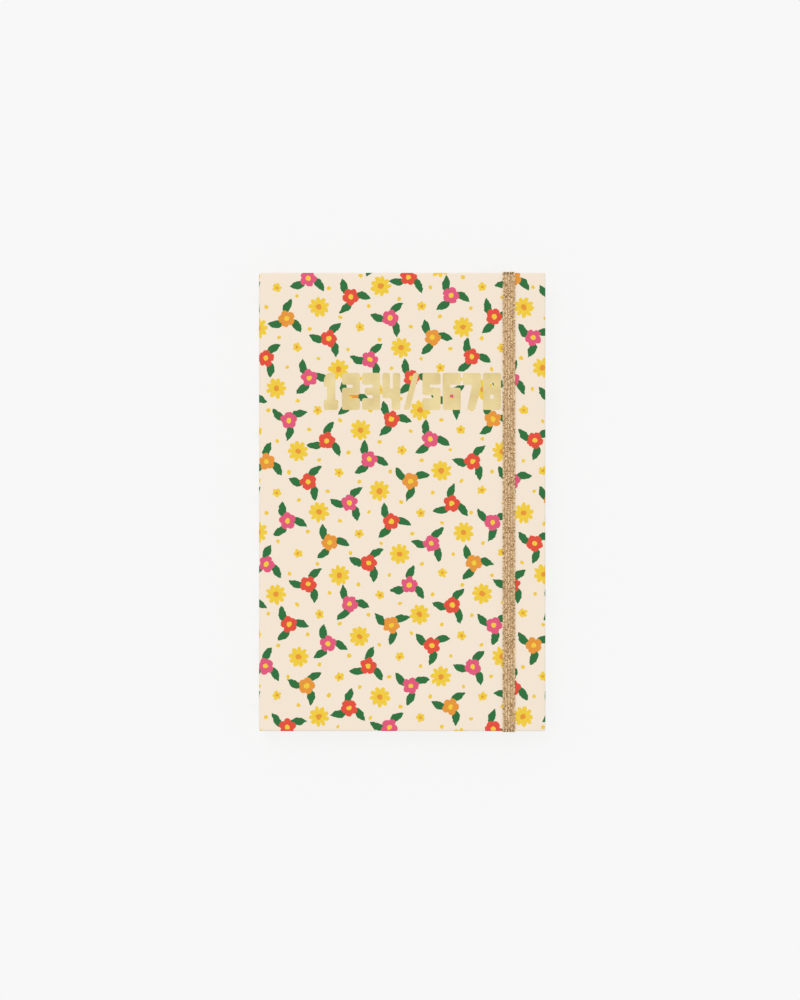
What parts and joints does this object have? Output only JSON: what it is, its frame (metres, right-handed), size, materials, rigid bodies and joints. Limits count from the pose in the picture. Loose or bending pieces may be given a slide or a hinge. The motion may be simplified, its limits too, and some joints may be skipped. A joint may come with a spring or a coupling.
{
  "type": "monthly planner",
  "caption": "Slim hardcover planner with a flat spine, paper-wrapped boards, folded page sections and an elastic strap; it opens flat in the middle.",
  "frame": {"origin": "centre of the planner's outline, strap included, on the plane that its back cover rests on", "axes": "+X from the spine to the fore edge, +Y from the tail to the head, +Z out of the front cover"},
  "size_m": [0.127, 0.2046, 0.0134],
  "materials": {
    "printed_paper": "matte printed paper, cream ground",
    "greyboard": "raw grey board",
    "endpaper": "uncoated cream paper",
    "page_paper": "uncoated off-white paper",
    "lining_cloth": "open cotton weave, glued",
    "gold_elastic": "ribbed elastic braid with metallic yarn"
  },
  "bodies": {
    "back_case": {"back_wrap": "printed_paper", "back_board": "greyboard", "back_pastedown": "endpaper", "back_crease": "printed_paper", "back_flyleaf": "endpaper", "section_5": "page_paper", "section_6": "page_paper", "section_7": "page_paper", "section_8": "page_paper", "spine_lining": "lining_cloth"},
    "spine_strip": {"spine_wrap": "printed_paper", "spine_board": "greyboard", "front_crease": "printed_paper"},
    "front_case": {"front_wrap": "printed_paper", "front_board": "greyboard", "front_pastedown": "endpaper"},
    "pages_1": {"section_1": "page_paper", "front_flyleaf": "endpaper"},
    "pages_2": {"section_2": "page_paper"},
    "pages_3": {"section_3": "page_paper"},
    "pages_4": {"section_4": "page_paper"},
    "closure": {"elastic_strap": "gold_elastic"}
  },
  "joints": [
    {"name": "spine_fold", "type": "hinge", "parent": "back_case", "child": "spine_strip", "pos_m": [-0.06303, 0, 0.00047], "axis": [0, -1, 0], "range_deg": [0, 90], "deforming": ["back_crease"]},
    {"name": "cover_fold", "type": "hinge", "parent": "spine_strip", "child": "front_case", "pos_m": [-0.06303, 0, 0.01225], "axis": [0, -1, 0], "range_deg": [0, 90], "deforming": ["front_crease"]},
    {"name": "pages_1_turn", "type": "hinge", "parent": "back_case", "child": "pages_1", "pos_m": [-0.06303, 0, 0.00636], "axis": [0, -1, 0], "range_deg": [0, 180]},
    {"name": "pages_2_turn", "type": "hinge", "parent": "back_case", "child": "pages_2", "pos_m": [-0.06243, 0, 0.00636], "axis": [0, -1, 0], "range_deg": [0, 180]},
    {"name": "pages_3_turn", "type": "hinge", "parent": "back_case", "child": "pages_3", "pos_m": [-0.06182, 0, 0.00636], "axis": [0, -1, 0], "range_deg": [0, 180]},
    {"name": "pages_4_turn", "type": "hinge", "parent": "back_case", "child": "pages_4", "pos_m": [-0.06122, 0, 0.00636], "axis": [0, -1, 0], "range_deg": [0, 180], "deforming": ["spine_lining"]},
    {"name": "strap_swing", "type": "hinge", "parent": "back_case", "child": "closure", "pos_m": [0.0473, 0, 0.00174], "axis": [0, 1, 0], "range_deg": [0, 180], "deforming": ["elastic_strap"]}
  ],
  "couplings": [
    {"joint": "cover_fold", "follows": "spine_fold", "ratio": 1},
    {"joint": "pages_1_turn", "follows": "spine_fold", "ratio": 2},
    {"joint": "pages_2_turn", "follows": "spine_fold", "ratio": 2},
    {"joint": "pages_3_turn", "follows": "spine_fold", "ratio": 2},
    {"joint": "pages_4_turn", "follows": "spine_fold", "ratio": 2},
    {"joint": "strap_swing", "follows": "spine_fold", "ratio": 2}
  ]
}
